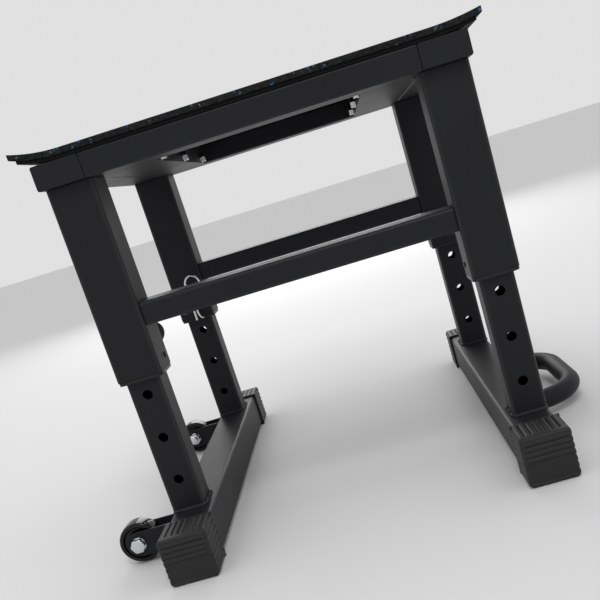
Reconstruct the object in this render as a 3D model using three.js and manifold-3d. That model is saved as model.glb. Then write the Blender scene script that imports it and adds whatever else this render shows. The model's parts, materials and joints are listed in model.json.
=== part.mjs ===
// Height-adjustable steel step platform with telescoping legs, transport wheels and a lifting handle.
//
// Units are millimetres, +Z is up, and the origin is on the floor at the centre of the footprint.
// +X runs along the deck from the wheel side to the handle side, and -Y is the front.
// The pictured setting is the highest one: the inner legs can slide 240 mm up into their sleeves.

import * as THREE from "three";
import { mergeVertices } from "three/addons/utils/BufferGeometryUtils.js";
import Module from "manifold-3d";

// ---- Driving dimensions -------------------------------------------------------------------------

const GAP = 0.3; // clearance between pieces that touch
const LEG_X = 310; // leg centres, left and right of the middle
const LEG_Y = 300; // leg centres, front and back of the middle

const BEAM_SIZE = 75; // square tube of the base beams
const BEAM_X = 302.5; // beam centre, so that its outer side is flush with the legs
const BEAM_END_Y = 455; // half the beam's length
const BOOT_WALL = 5; // rubber between beam and floor
const BOOT_DEPTH = 78;
const BOOT_RIBS = 7;
const BOOT_GROOVE = 1.8;
const FACE_RIBS = 4; // level ribs on the upper part of a boot's closed face
const FACE_RIB_PITCH = 10;
const FACE_RIB_TOP = 34; // middle of the highest rib, from the beam's centre line

const LEG_SIZE = 60; // inner leg
const SLEEVE_SIZE = 80; // outer sleeve
const WALL = 3; // wall of every steel tube
const CORNER = 6; // corner radius of the tubes
const BEAM_BOTTOM = BOOT_WALL;
const BEAM_TOP = BEAM_BOTTOM + BEAM_SIZE;
const LEG_TOP = 415;
const HOLE_D = 17; // setting holes through the inner legs
const HOLE_PITCH = 80;
const HOLE_COUNT = 4;
const PIN_Z = 378; // the top setting hole, where the lock pin engages
const SLEEVE_BOTTOM = 331;
const FLANGE_T = 6; // plastic collar showing under each sleeve
const FLANGE_CORNER = 12;
const LINER_HEIGHT = 35;
const CAP_HEIGHT = 25; // plastic cap on the inner leg's top
const CAP_OVERLAP = 20; // how far the cap reaches down over the leg

const FRAME_BOTTOM = 665;
const FRAME_HEIGHT = 40;
const FRAME_WIDTH = 80;
const FRAME_HALF = 356; // half the square frame's outer size
const FRAME_TOP = FRAME_BOTTOM + FRAME_HEIGHT;
const CROSSBAR_Z = 432; // middle of the lower crossbars
const CROSSBAR_HEIGHT = 40;
const CROSSBAR_DEPTH = 70;
const CROSSBAR_CORNER = 8;
const VENT_D = 10; // hole that opens each end tube's hollow

const BOARD_HALF_X = 372; // under-layer of the deck
const BOARD_T = 6;
const MAT_HALF_X = 382; // rubber top, curling up at both ends
const MAT_T = 10;
const MAT_HALF_Y = 360;
const LIP_START = 300;
const LIP_RISE = 8;
const LIP_RISE_LEFT = 12; // the wheel side curls up further
const DECK_TOP = FRAME_TOP + BOARD_T + MAT_T;

const SUPPORT_INNER_X = 178; // inner edge of the angles that carry the deck's ends
const SUPPORT_T = 4;
const SUPPORT_BOLT_Y = 220;
const SUPPORT_BOLT_Z = 676;
const SUPPORT_BOLT_AF = 19;
const SUPPORT_BOLT_HEAD = 8;
const SUPPORT_WASHER_D = 22;
const SUPPORT_WASHER_T = 2;

const WHEEL_X = -420;
const WHEEL_Y = 305;
const WHEEL_Z = 40;
const WHEEL_D = 76;
const WHEEL_WIDTH = 34;
const PLATE_T = 4;
const PLATE_HALF_HEIGHT = 23;
const PLATE_OFFSET = 21; // plate centre from the wheel's middle plane
const AXLE_D = 16;
const AXLE_HEAD_AF = 24;
const AXLE_HEAD_T = 10;
const NUT_T = 13;
const THREAD_END = 6; // thread that shows past the nut
const HUB_RADIUS = 14;
const RIM_RADIUS = 30; // inner edge of the wheel's rim
const WEB_DEPTH = 4; // how far the wheel's faces sink between hub and rim

const HANDLE_TUBE_D = 38;
const HANDLE_BORE_D = 32;
const HANDLE_OUT_X = 439; // centre line of the handle's outer run
const HANDLE_HALF_Y = 150;
const HANDLE_BEND = 90;
const HANDLE_Z = 35;

const PIN_D = 16;
const PIN_END = 138; // outer end of the steel pin, from the leg's centre
const CLIP_OFFSET = 55; // clip plane from the leg's centre
const CLIP_WIRE = 5;
const KNOB_D = 46;
const KNOB_LENGTH = 26;

const ARC_STEPS = 2; // half the facets of a tube's corner

// ---- Solid helpers ------------------------------------------------------------------------------

const wasm = await Module();
wasm.setup();

function toSolid(geometry) {
  const plain = geometry.clone();
  plain.deleteAttribute("normal");
  plain.deleteAttribute("uv");
  const merged = mergeVertices(plain, 1e-4);
  return new wasm.Manifold(
    new wasm.Mesh({
      numProp: 3,
      vertProperties: new Float32Array(merged.attributes.position.array),
      triVerts: new Uint32Array(merged.index.array),
    }),
  );
}

function toGeometry(solid) {
  const mesh = solid.getMesh();
  const geometry = new THREE.BufferGeometry();
  geometry.setAttribute("position", new THREE.BufferAttribute(new Float32Array(mesh.vertProperties), 3));
  geometry.setIndex(new THREE.BufferAttribute(new Uint32Array(mesh.triVerts), 1));
  geometry.computeVertexNormals();
  return geometry;
}

function cut(base, ...tools) {
  let solid = toSolid(base);
  for (const tool of tools) {
    solid = solid.subtract(toSolid(tool));
  }
  return toGeometry(solid);
}

function join(first, ...others) {
  let solid = toSolid(first);
  for (const other of others) {
    solid = solid.add(toSolid(other));
  }
  return toGeometry(solid);
}

// A rectangle centred on the origin with rounded corners, as a closed path.
function roundedRectangle(width, height, radius, PathClass = THREE.Shape) {
  const path = new PathClass();
  const x = width / 2 - radius;
  const y = height / 2 - radius;
  path.absarc(x, y, radius, 0, Math.PI / 2);
  path.absarc(-x, y, radius, Math.PI / 2, Math.PI);
  path.absarc(-x, -y, radius, Math.PI, 1.5 * Math.PI);
  path.absarc(x, -y, radius, 1.5 * Math.PI, 2 * Math.PI);
  path.closePath();
  return path;
}

// An outline extruded along +Z from z = 0.
function extrude(shape, length, curveSegments = ARC_STEPS) {
  return new THREE.ExtrudeGeometry(shape, { depth: length, steps: 1, bevelEnabled: false, curveSegments });
}

// A hollow rectangular tube along +Z from z = 0.
function tube(width, height, length, wall = WALL, radius = CORNER) {
  const shape = roundedRectangle(width, height, radius);
  const innerRadius = Math.max(radius - wall, 1);
  shape.holes.push(roundedRectangle(width - 2 * wall, height - 2 * wall, innerRadius, THREE.Path));
  return extrude(shape, length);
}

// A round bar along Y, centred on the given point.
function barAlongY(diameter, length, x, y, z, sides = 16) {
  const bar = new THREE.CylinderGeometry(diameter / 2, diameter / 2, length, sides);
  return bar.translate(x, y, z);
}

// A hexagonal prism along +Z from z = 0, stated by its width across flats.
function hexagon(acrossFlats, height) {
  const radius = acrossFlats / Math.sqrt(3);
  const prism = new THREE.CylinderGeometry(radius, radius, height, 6);
  return prism.rotateX(Math.PI / 2).translate(0, 0, height / 2);
}

// ---- Materials ----------------------------------------------------------------------------------

const FINISHES = {
  powder_coat: { color: 0x26272b, roughness: 0.45, metalness: 0.3 },
  mat_rubber: { color: 0x18181a, roughness: 0.85, metalness: 0.0 },
  deck_board: { color: 0x141416, roughness: 0.7, metalness: 0.0 },
  boot_rubber: { color: 0x2c2c2e, roughness: 0.6, metalness: 0.0 },
  black_plastic: { color: 0x1b1c1f, roughness: 0.5, metalness: 0.0 },
  wheel_plastic: { color: 0x0c0c0e, roughness: 0.2, metalness: 0.0 },
  bright_steel: { color: 0xc8cacc, roughness: 0.25, metalness: 1.0 },
};

const platform = new THREE.Group();

// Adds one named piece to its parent group with a material of its own.
function add(parent, name, geometry, finish) {
  const mesh = new THREE.Mesh(geometry, new THREE.MeshStandardMaterial(FINISHES[finish]));
  mesh.name = name;
  parent.add(mesh);
  return mesh;
}

const SIDES = [["left", -1], ["right", 1]];
const ENDS = [["front", -1], ["rear", 1]];

// ---- Deck ---------------------------------------------------------------------------------------

// Height that the deck's ends have curled up at a distance x from the middle.
function lipRise(x) {
  const t = Math.max(0, Math.abs(x) - LIP_START) / (MAT_HALF_X - LIP_START);
  return (x < 0 ? LIP_RISE_LEFT : LIP_RISE) * t * t;
}

// A deck layer of even thickness, whose ends follow the lip, extruded along Y.
function deckLayer(halfX, halfY, bottom, thickness) {
  const lip = Array.from({ length: 7 }, (_, i) => LIP_START + ((halfX - LIP_START) * i) / 6);
  const xs = [...lip.map((x) => -x).reverse(), ...lip];
  const upper = xs.map((x) => new THREE.Vector2(x, bottom + thickness + lipRise(x)));
  const lower = xs.map((x) => new THREE.Vector2(x, bottom + lipRise(x))).reverse();
  const layer = extrude(new THREE.Shape([...lower, ...upper]), 2 * halfY);
  return layer.rotateX(Math.PI / 2).translate(0, halfY, 0);
}

function makeDeck() {
  const board = deckLayer(BOARD_HALF_X, FRAME_HALF, FRAME_TOP + GAP, BOARD_T - GAP);
  const mat = deckLayer(MAT_HALF_X, MAT_HALF_Y, FRAME_TOP + BOARD_T + GAP, MAT_T - GAP);
  add(platform, "deck_board", board, "deck_board");
  add(platform, "deck_mat", mat, "mat_rubber");
}

// ---- Upper frame --------------------------------------------------------------------------------

// End tube along Y with welded end plates; a vent hole underneath opens its hollow.
function endTube() {
  const outer = extrude(roundedRectangle(FRAME_WIDTH, FRAME_HEIGHT, CORNER), 2 * FRAME_HALF);
  const bore = roundedRectangle(FRAME_WIDTH - 2 * WALL, FRAME_HEIGHT - 2 * WALL, CORNER - WALL);
  const hollow = extrude(bore, 2 * (FRAME_HALF - WALL)).translate(0, 0, WALL);
  const vent = new THREE.CylinderGeometry(VENT_D / 2, VENT_D / 2, FRAME_HEIGHT, 16);
  vent.translate(0, -FRAME_HEIGHT / 2, FRAME_HALF);
  return cut(outer, hollow, vent).rotateX(Math.PI / 2).translate(0, FRAME_HALF, 0);
}

// Angle along Y under the deck: a flat leg that meets the end tube and an upright inner flange.
function supportAngle() {
  const width = FRAME_HALF - FRAME_WIDTH - SUPPORT_INNER_X - GAP;
  const height = FRAME_HEIGHT - GAP;
  const outline = new THREE.Shape();
  outline.moveTo(0, 0);
  outline.lineTo(width, 0);
  outline.lineTo(width, SUPPORT_T);
  outline.lineTo(SUPPORT_T, SUPPORT_T);
  outline.lineTo(SUPPORT_T, height);
  outline.lineTo(0, height);
  outline.closePath();
  const length = 2 * (FRAME_HALF - FRAME_WIDTH - GAP);
  return extrude(outline, length).rotateX(Math.PI / 2).translate(0, length / 2, 0);
}

// Hex head that lies against the angle's inner flange, its axis along X.
function supportBolt() {
  const radius = SUPPORT_WASHER_D / 2;
  const washer = new THREE.CylinderGeometry(radius, radius, SUPPORT_WASHER_T, 24);
  washer.rotateX(Math.PI / 2).translate(0, 0, SUPPORT_WASHER_T / 2);
  const head = hexagon(SUPPORT_BOLT_AF, SUPPORT_BOLT_HEAD).translate(0, 0, SUPPORT_WASHER_T);
  return join(washer, head).rotateY(Math.PI / 2);
}

function makeFrame() {
  const middle = (FRAME_BOTTOM + FRAME_TOP) / 2;
  const railLength = 2 * (FRAME_HALF - FRAME_WIDTH - GAP);
  for (const [side, sx] of SIDES) {
    add(platform, `end_tube_${side}`, endTube(), "powder_coat").position.set(
      sx * (FRAME_HALF - FRAME_WIDTH / 2), 0, middle,
    );
    const support = supportAngle();
    if (sx < 0) {
      support.rotateZ(Math.PI);
    }
    add(platform, `deck_support_${side}`, support, "powder_coat").position.set(
      sx * SUPPORT_INNER_X, 0, FRAME_BOTTOM,
    );
    for (const [end, sy] of ENDS) {
      const bolt = supportBolt();
      if (sx > 0) {
        bolt.rotateZ(Math.PI);
      }
      add(platform, `support_bolt_${end}_${side}`, bolt, "bright_steel").position.set(
        sx * (SUPPORT_INNER_X - GAP), sy * SUPPORT_BOLT_Y, SUPPORT_BOLT_Z,
      );
    }
  }
  for (const [end, sy] of ENDS) {
    const rail = tube(FRAME_HEIGHT, FRAME_WIDTH, railLength).translate(0, 0, -railLength / 2);
    add(platform, `${end}_rail`, rail.rotateY(Math.PI / 2), "powder_coat").position.set(
      0, sy * (FRAME_HALF - FRAME_WIDTH / 2), middle,
    );
    const barLength = 2 * (LEG_X - SLEEVE_SIZE / 2 - GAP);
    const bar = tube(CROSSBAR_HEIGHT, CROSSBAR_DEPTH, barLength, WALL, CROSSBAR_CORNER);
    bar.translate(0, 0, -barLength / 2).rotateY(Math.PI / 2);
    add(platform, `${end}_crossbar`, bar, "powder_coat").position.set(
      0, sy * LEG_Y, CROSSBAR_Z,
    );
  }
}

// ---- Legs ---------------------------------------------------------------------------------------

// Outer sleeve with the pin's hole in the wall that faces the middle of the platform.
function sleeve(inward) {
  const body = tube(SLEEVE_SIZE, SLEEVE_SIZE, FRAME_BOTTOM - GAP - SLEEVE_BOTTOM);
  const hole = barAlongY(HOLE_D, 12, 0, (inward * SLEEVE_SIZE) / 2, PIN_Z - SLEEVE_BOTTOM);
  return cut(body, hole).translate(0, 0, SLEEVE_BOTTOM);
}

// Plastic collar under the sleeve, with a liner that guides the inner leg.
function bushing() {
  const bore = LEG_SIZE + 2 * GAP;
  const flange = tube(SLEEVE_SIZE, SLEEVE_SIZE, FLANGE_T - GAP, (SLEEVE_SIZE - bore) / 2, FLANGE_CORNER);
  const outer = SLEEVE_SIZE - 2 * WALL - 2 * GAP;
  const liner = tube(outer, outer, FLANGE_T + LINER_HEIGHT, (outer - bore) / 2, CORNER);
  return join(flange, liner).translate(0, 0, SLEEVE_BOTTOM - FLANGE_T);
}

// Inner leg with its row of setting holes, front to back.
function innerLeg() {
  const bottom = BEAM_TOP + GAP;
  const body = tube(LEG_SIZE, LEG_SIZE, LEG_TOP - bottom).translate(0, 0, bottom);
  const holes = Array.from({ length: HOLE_COUNT }, (_, i) =>
    barAlongY(HOLE_D, LEG_SIZE + 10, 0, 0, PIN_Z - i * HOLE_PITCH),
  );
  return cut(body, ...holes);
}

// Plastic cap on the leg's top that runs in the sleeve.
function legGuide() {
  const outer = SLEEVE_SIZE - 2 * WALL - 1;
  const inner = LEG_SIZE + 2 * GAP;
  const body = extrude(roundedRectangle(outer, outer, CORNER - WALL), CAP_HEIGHT);
  const socket = extrude(roundedRectangle(inner, inner, CORNER), CAP_OVERLAP + 2 * GAP);
  return cut(body, socket.translate(0, 0, -GAP)).translate(0, 0, LEG_TOP - CAP_OVERLAP);
}

// ---- Lock pins ----------------------------------------------------------------------------------

// Steel pin pointing along +Y from just outside the leg, with a cross hole for the clip.
function lockPin() {
  const start = LEG_SIZE / 2 + GAP;
  const length = PIN_END - start;
  const shaft = barAlongY(PIN_D, length, 0, start + length / 2, 0);
  const clipHole = new THREE.CylinderGeometry(3, 3, PIN_D + 4, 16).rotateX(Math.PI / 2);
  return cut(shaft, clipHole.translate(0, CLIP_OFFSET, 0));
}

// Turned knob on the pin's outer end, with a rounded rim.
function pinKnob() {
  const radius = KNOB_D / 2;
  const profile = [new THREE.Vector2(PIN_D / 2 + GAP, 0), new THREE.Vector2(12, 0), new THREE.Vector2(13, 6)];
  for (let i = 0; i <= 5; i += 1) {
    const angle = -Math.PI / 2 + (Math.PI * i) / 5;
    profile.push(new THREE.Vector2(radius - 9 + 9 * Math.cos(angle), 16 + 9 * Math.sin(angle)));
  }
  profile.push(new THREE.Vector2(PIN_D / 2, KNOB_LENGTH), new THREE.Vector2(0, KNOB_LENGTH));
  profile.push(new THREE.Vector2(0, 20 + GAP), new THREE.Vector2(PIN_D / 2 + GAP, 20 + GAP));
  profile.push(profile[0].clone());
  return new THREE.LatheGeometry(profile, 20).translate(0, PIN_END - 20, 0);
}

// Hairpin clip of round wire: a straight leg through the pin, a loop above it, and a wavy leg beside it.
// direction is the side of the pin that the loop leans to.
function pinClip(direction) {
  const path = new THREE.CatmullRomCurve3(
    [
      [0, -52], [0, -20], [0, 10], [0, 36], [5, 48], [17, 53.5], [29, 48], [34, 36],
      [30, 20], [18, 8], [14, -2], [13, -14], [7.5, -30], [10, -42], [17, -50],
    ].map(([x, z]) => new THREE.Vector3(direction * x, 0, z)),
    false,
    "centripetal",
  );
  const section = new THREE.Shape();
  section.absarc(0, 0, CLIP_WIRE / 2, 0, 2 * Math.PI);
  const wire = new THREE.ExtrudeGeometry(section, { extrudePath: path, steps: 32, curveSegments: 3 });
  return wire.translate(0, CLIP_OFFSET, 0);
}

function makeLegs(base) {
  for (const [side, sx] of SIDES) {
    for (const [end, sy] of ENDS) {
      const x = sx * LEG_X;
      const y = sy * LEG_Y;
      const corner = `${end}_${side}`;
      add(platform, `sleeve_${corner}`, sleeve(-sy), "powder_coat").position.set(x, y, 0);
      add(platform, `bushing_${corner}`, bushing(), "black_plastic").position.set(x, y, 0);
      add(base, `inner_leg_${corner}`, innerLeg(), "powder_coat").position.set(x, y, 0);
      add(base, `leg_guide_${corner}`, legGuide(), "black_plastic").position.set(x, y, 0);

      const lock = new THREE.Group();
      lock.position.set(x, y, PIN_Z);
      lock.rotation.z = sy > 0 ? Math.PI : 0;
      platform.add(lock);
      const turn = corner === "rear_right" ? Math.PI / 2 : 0;
      add(lock, `lock_pin_${corner}`, lockPin().rotateY(turn), "bright_steel");
      add(lock, `pin_knob_${corner}`, pinKnob(), "black_plastic");
      add(lock, `pin_clip_${corner}`, pinClip(-sy).rotateY(turn), "bright_steel");
    }
  }
}

// ---- Base ---------------------------------------------------------------------------------------

// Closed outline of the boot: a rounded square whose four sides carry flat-topped ribs.
function bootOutline() {
  const half = BEAM_SIZE / 2 + BOOT_WALL;
  const pitch = (2 * half) / BOOT_RIBS;
  const side = [];
  for (let i = 0; i < BOOT_RIBS; i += 1) {
    const start = -half + i * pitch;
    const inset = i === 0 ? 3 : 1.6;
    const outset = i === BOOT_RIBS - 1 ? 3 : 1.6;
    side.push([start + inset, half], [start + pitch - outset, half]);
    if (i < BOOT_RIBS - 1) {
      side.push([start + pitch - 0.6, half - BOOT_GROOVE], [start + pitch + 0.6, half - BOOT_GROOVE]);
    }
  }
  const points = [];
  for (let turn = 0; turn < 4; turn += 1) {
    const c = Math.cos((-turn * Math.PI) / 2);
    const s = Math.sin((-turn * Math.PI) / 2);
    for (const [x, y] of side) {
      points.push(new THREE.Vector2(x * c - y * s, x * s + y * c));
    }
  }
  return new THREE.Shape(points.reverse());
}

// Ribbed rubber boot whose closed face points to +Y.
function boot() {
  const socketSize = BEAM_SIZE + 2 * GAP;
  const body = extrude(bootOutline(), BOOT_DEPTH);
  const socket = extrude(roundedRectangle(socketSize, socketSize, CORNER), BOOT_DEPTH);
  const shell = cut(body, socket.translate(0, 0, BOOT_WALL + GAP));
  const ribs = Array.from({ length: FACE_RIBS }, (_, i) =>
    new THREE.BoxGeometry(BEAM_SIZE, 5, 3).translate(0, FACE_RIB_TOP - FACE_RIB_PITCH * i, 0.5),
  );
  return join(shell, ...ribs).rotateX(Math.PI / 2);
}

// Upright side plate of a wheel bracket: straight edges from the beam, round about the axle.
function bracketPlate() {
  const reach = Math.abs(WHEEL_X) - (BEAM_X + BEAM_SIZE / 2 + GAP);
  const outline = new THREE.Shape();
  outline.moveTo(reach, -PLATE_HALF_HEIGHT);
  outline.lineTo(reach, PLATE_HALF_HEIGHT);
  outline.absarc(0, 0, PLATE_HALF_HEIGHT, Math.PI / 2, 1.5 * Math.PI);
  outline.closePath();
  const hole = new THREE.Path();
  hole.absarc(0, 0, AXLE_D / 2 + GAP, 0, 2 * Math.PI);
  outline.holes.push(hole);
  return extrude(outline, PLATE_T, 8).rotateX(Math.PI / 2).translate(0, PLATE_T / 2, 0);
}

// Transport wheel: a round tread with sunken faces and a hub that stands proud of them.
function wheel() {
  const r = WHEEL_D / 2;
  const half = WHEEL_WIDTH / 2;
  const bore = AXLE_D / 2 + GAP + 0.1;
  const side = [
    [bore, half],
    [HUB_RADIUS, half],
    [HUB_RADIUS + 1, half - WEB_DEPTH],
    [RIM_RADIUS - 2, half - WEB_DEPTH],
    [RIM_RADIUS, half - 1],
    [r - 3, half - 1],
    [r, half - 5],
  ];
  const other = side.map(([radius, y]) => [radius, -y]);
  const profile = [...other, ...side.reverse()].map(([radius, y]) => new THREE.Vector2(radius, y));
  profile.push(profile[0].clone());
  return new THREE.LatheGeometry(profile, 28);
}

// Axle bolt whose head is at -Y and whose thread ends past the nut at +Y.
function axleBolt() {
  const outside = PLATE_OFFSET + PLATE_T / 2 + GAP;
  const length = 2 * outside + NUT_T + THREAD_END;
  const shank = barAlongY(AXLE_D, length, 0, length / 2 - outside, 0);
  const head = hexagon(AXLE_HEAD_AF, AXLE_HEAD_T).rotateX(Math.PI / 2).translate(0, -outside, 0);
  return join(shank, head);
}

function axleNut() {
  const radius = AXLE_D / 2 + GAP;
  const hole = new THREE.CylinderGeometry(radius, radius, NUT_T + 4, 24);
  hole.rotateX(Math.PI / 2).translate(0, 0, NUT_T / 2);
  const start = PLATE_OFFSET + PLATE_T / 2 + GAP;
  return cut(hexagon(AXLE_HEAD_AF, NUT_T), hole).rotateX(-Math.PI / 2).translate(0, start, 0);
}

// Lifting handle: a round tube bent to a flat U that stands out from the right-hand beam.
function handle() {
  const start = BEAM_X + BEAM_SIZE / 2 + GAP;
  const bendX = HANDLE_OUT_X - HANDLE_BEND;
  const bendY = HANDLE_HALF_Y - HANDLE_BEND;
  const centreLine = (x0) => {
    const path = new THREE.CurvePath();
    const at = (x, y) => new THREE.Vector3(x, y, HANDLE_Z);
    const steps = 8;
    const points = [at(x0, -HANDLE_HALF_Y)];
    for (let i = 0; i <= steps; i += 1) {
      const a = -Math.PI / 2 + (Math.PI / 2) * (i / steps);
      points.push(at(bendX + HANDLE_BEND * Math.cos(a), -bendY + HANDLE_BEND * Math.sin(a)));
    }
    for (let i = 0; i <= steps; i += 1) {
      const a = (Math.PI / 2) * (i / steps);
      points.push(at(bendX + HANDLE_BEND * Math.cos(a), bendY + HANDLE_BEND * Math.sin(a)));
    }
    points.push(at(x0, HANDLE_HALF_Y));
    for (let i = 1; i < points.length; i += 1) {
      path.add(new THREE.LineCurve3(points[i - 1], points[i]));
    }
    return path;
  };
  const round = (diameter) => {
    const shape = new THREE.Shape();
    shape.absarc(0, 0, diameter / 2, 0, 2 * Math.PI);
    return shape;
  };
  const sweep = (diameter, x0) =>
    new THREE.ExtrudeGeometry(round(diameter), { steps: 26, curveSegments: 6, extrudePath: centreLine(x0) });
  return cut(sweep(HANDLE_TUBE_D, start), sweep(HANDLE_BORE_D, start - 1));
}

function makeBase(base) {
  const middle = (BEAM_BOTTOM + BEAM_TOP) / 2;
  for (const [side, sx] of SIDES) {
    const beam = tube(BEAM_SIZE, BEAM_SIZE, 2 * BEAM_END_Y).rotateX(Math.PI / 2).translate(0, BEAM_END_Y, 0);
    add(base, `base_beam_${side}`, beam, "powder_coat").position.set(sx * BEAM_X, 0, middle);
    for (const [end, sy] of ENDS) {
      const mesh = add(base, `foot_boot_${end}_${side}`, boot(), "boot_rubber");
      mesh.position.set(sx * BEAM_X, sy * (BEAM_END_Y + BOOT_WALL + GAP), middle);
      mesh.rotation.z = sy > 0 ? 0 : Math.PI;
    }
  }
  add(base, "lift_handle", handle(), "powder_coat");
}

function makeWheels(base) {
  for (const [end, sy] of ENDS) {
    const unit = new THREE.Group();
    unit.position.set(WHEEL_X, sy * WHEEL_Y, WHEEL_Z);
    base.add(unit);
    add(unit, `wheel_plate_outer_${end}`, bracketPlate().translate(0, sy * PLATE_OFFSET, 0), "powder_coat");
    add(unit, `wheel_plate_inner_${end}`, bracketPlate().translate(0, -sy * PLATE_OFFSET, 0), "powder_coat");
    const bolt = axleBolt();
    const nut = axleNut();
    if (sy > 0) {
      bolt.rotateZ(Math.PI);
      nut.rotateZ(Math.PI);
    }
    add(unit, `axle_bolt_${end}`, bolt, "bright_steel");
    add(unit, `axle_nut_${end}`, nut, "bright_steel");
    add(unit, `wheel_${end}`, wheel(), "wheel_plastic");
  }
}

// ---- Assembly -----------------------------------------------------------------------------------

const base = new THREE.Group();
platform.add(base);
makeDeck();
makeFrame();
makeLegs(base);
makeBase(base);
makeWheels(base);

export default platform;
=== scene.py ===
"""Visual model of a height-adjustable steel step platform, laid out as a Blender add-on.

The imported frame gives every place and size. Each new piece is a stack of rings: an outline that is carried
along a profile or a path, worked out as whole arrays. All lengths are metres, +Z is up, -Y is the front,
the wheels are at -X and the lifting handle at +X.
"""

import json
import math

import bmesh
import bpy
import numpy as np
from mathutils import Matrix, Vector


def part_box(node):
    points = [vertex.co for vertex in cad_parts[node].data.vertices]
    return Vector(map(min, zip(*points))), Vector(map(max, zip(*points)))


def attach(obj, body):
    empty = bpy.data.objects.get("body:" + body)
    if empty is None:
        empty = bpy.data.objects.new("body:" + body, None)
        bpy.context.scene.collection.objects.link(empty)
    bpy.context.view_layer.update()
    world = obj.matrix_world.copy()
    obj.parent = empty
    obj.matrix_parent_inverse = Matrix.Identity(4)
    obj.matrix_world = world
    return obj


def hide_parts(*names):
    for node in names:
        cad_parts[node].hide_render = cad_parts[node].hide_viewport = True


bl_info = {
    "name": "Step Platform",
    "version": (1, 0, 0),
    "blender": (4, 5, 0),
    "location": "3D View > Sidebar > Step Platform",
    "description": "Builds a height-adjustable step platform around its packed frame",
    "category": "Add Mesh",
}

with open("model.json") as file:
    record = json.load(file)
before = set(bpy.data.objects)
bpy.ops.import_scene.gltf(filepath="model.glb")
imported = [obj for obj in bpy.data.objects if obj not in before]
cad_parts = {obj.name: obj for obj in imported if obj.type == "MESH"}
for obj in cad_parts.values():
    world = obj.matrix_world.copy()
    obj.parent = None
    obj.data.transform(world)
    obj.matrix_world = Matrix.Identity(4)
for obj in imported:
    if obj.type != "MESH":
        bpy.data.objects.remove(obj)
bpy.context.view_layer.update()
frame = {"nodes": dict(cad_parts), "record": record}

MM = 0.001
SIDES = (("left", -1), ("right", 1))
ENDS = (("front", -1), ("rear", 1))
CORNERS = [(end, side) for side, _ in SIDES for end, _ in ENDS]


# ---- User settings ----


def length_setting(label, text, default):
    """A length in metres that a user may change."""
    return bpy.props.FloatProperty(
        name=label, description=text, default=default, min=0.0, unit="LENGTH", precision=4
    )


def colour_setting(label, text, default):
    """A linear colour that a user may change."""
    return bpy.props.FloatVectorProperty(
        name=label, description=text, default=default, size=3, min=0.0, max=1.0, subtype="COLOR"
    )


class PlatformSizes(bpy.types.PropertyGroup):
    """Small sizes that the frame leaves open."""

    tube_corner: length_setting("Tube corner", "Outer corner radius of the steel tubes", 6 * MM)
    frame_corner: length_setting("Frame corner", "Outer corner radius of the upper frame's tubes", 3.5 * MM)
    tube_wall: length_setting("Tube wall", "Wall thickness of the steel tubes", 3 * MM)
    cut_edge: length_setting("Cut edge", "Rounding of the tubes' cut ends", 0.8 * MM)
    joint_edge: length_setting("Joint edge", "Rounding where the upper frame's tubes meet", 1.4 * MM)
    weld_radius: length_setting("Weld bead", "Radius of the weld beads", 4.0 * MM)
    rib_depth: length_setting("Boot rib depth", "Depth of the grooves between the boots' ribs", 3.0 * MM)
    hole_radius: length_setting("Setting hole", "Radius of the setting holes", 8.5 * MM)
    hole_pitch: length_setting("Hole pitch", "Distance between the setting holes", 80 * MM)
    boot_ribs: bpy.props.IntProperty(
        name="Boot ribs", description="Ribs on each side of a boot", default=7, min=3, max=12
    )


class PlatformColours(bpy.types.PropertyGroup):
    """Base colours of the finishes."""

    steel_paint: colour_setting("Powder coat", "Satin black paint of the steel", (0.0150, 0.0156, 0.0178))
    mat: colour_setting("Mat", "Granulated rubber of the deck", (0.0120, 0.0125, 0.0130))
    fleck: colour_setting("Fleck", "Coloured granules in the mat", (0.03, 0.10, 0.22))
    boot: colour_setting("Boots", "Rubber of the boots", (0.016, 0.016, 0.0165))
    plastic: colour_setting("Plastic", "Collars and knobs", (0.009, 0.009, 0.010))
    bright: colour_setting("Bright steel", "Bolts, pins and clips", (0.74, 0.75, 0.76))


# ---- Shader expressions ----


class Socket:
    """A number in a node tree that Python's operators work on; each operator adds one Math node."""

    def __init__(self, finish, socket):
        self.finish = finish
        self.socket = socket

    def __add__(self, other):
        return self.finish.math("ADD", self, other)

    def __radd__(self, other):
        return self.finish.math("ADD", other, self)

    def __sub__(self, other):
        return self.finish.math("SUBTRACT", self, other)

    def __rsub__(self, other):
        return self.finish.math("SUBTRACT", other, self)

    def __mul__(self, other):
        return self.finish.math("MULTIPLY", self, other)

    def __rmul__(self, other):
        return self.finish.math("MULTIPLY", other, self)

    def __gt__(self, other):
        return self.finish.math("GREATER_THAN", self, other)


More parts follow.
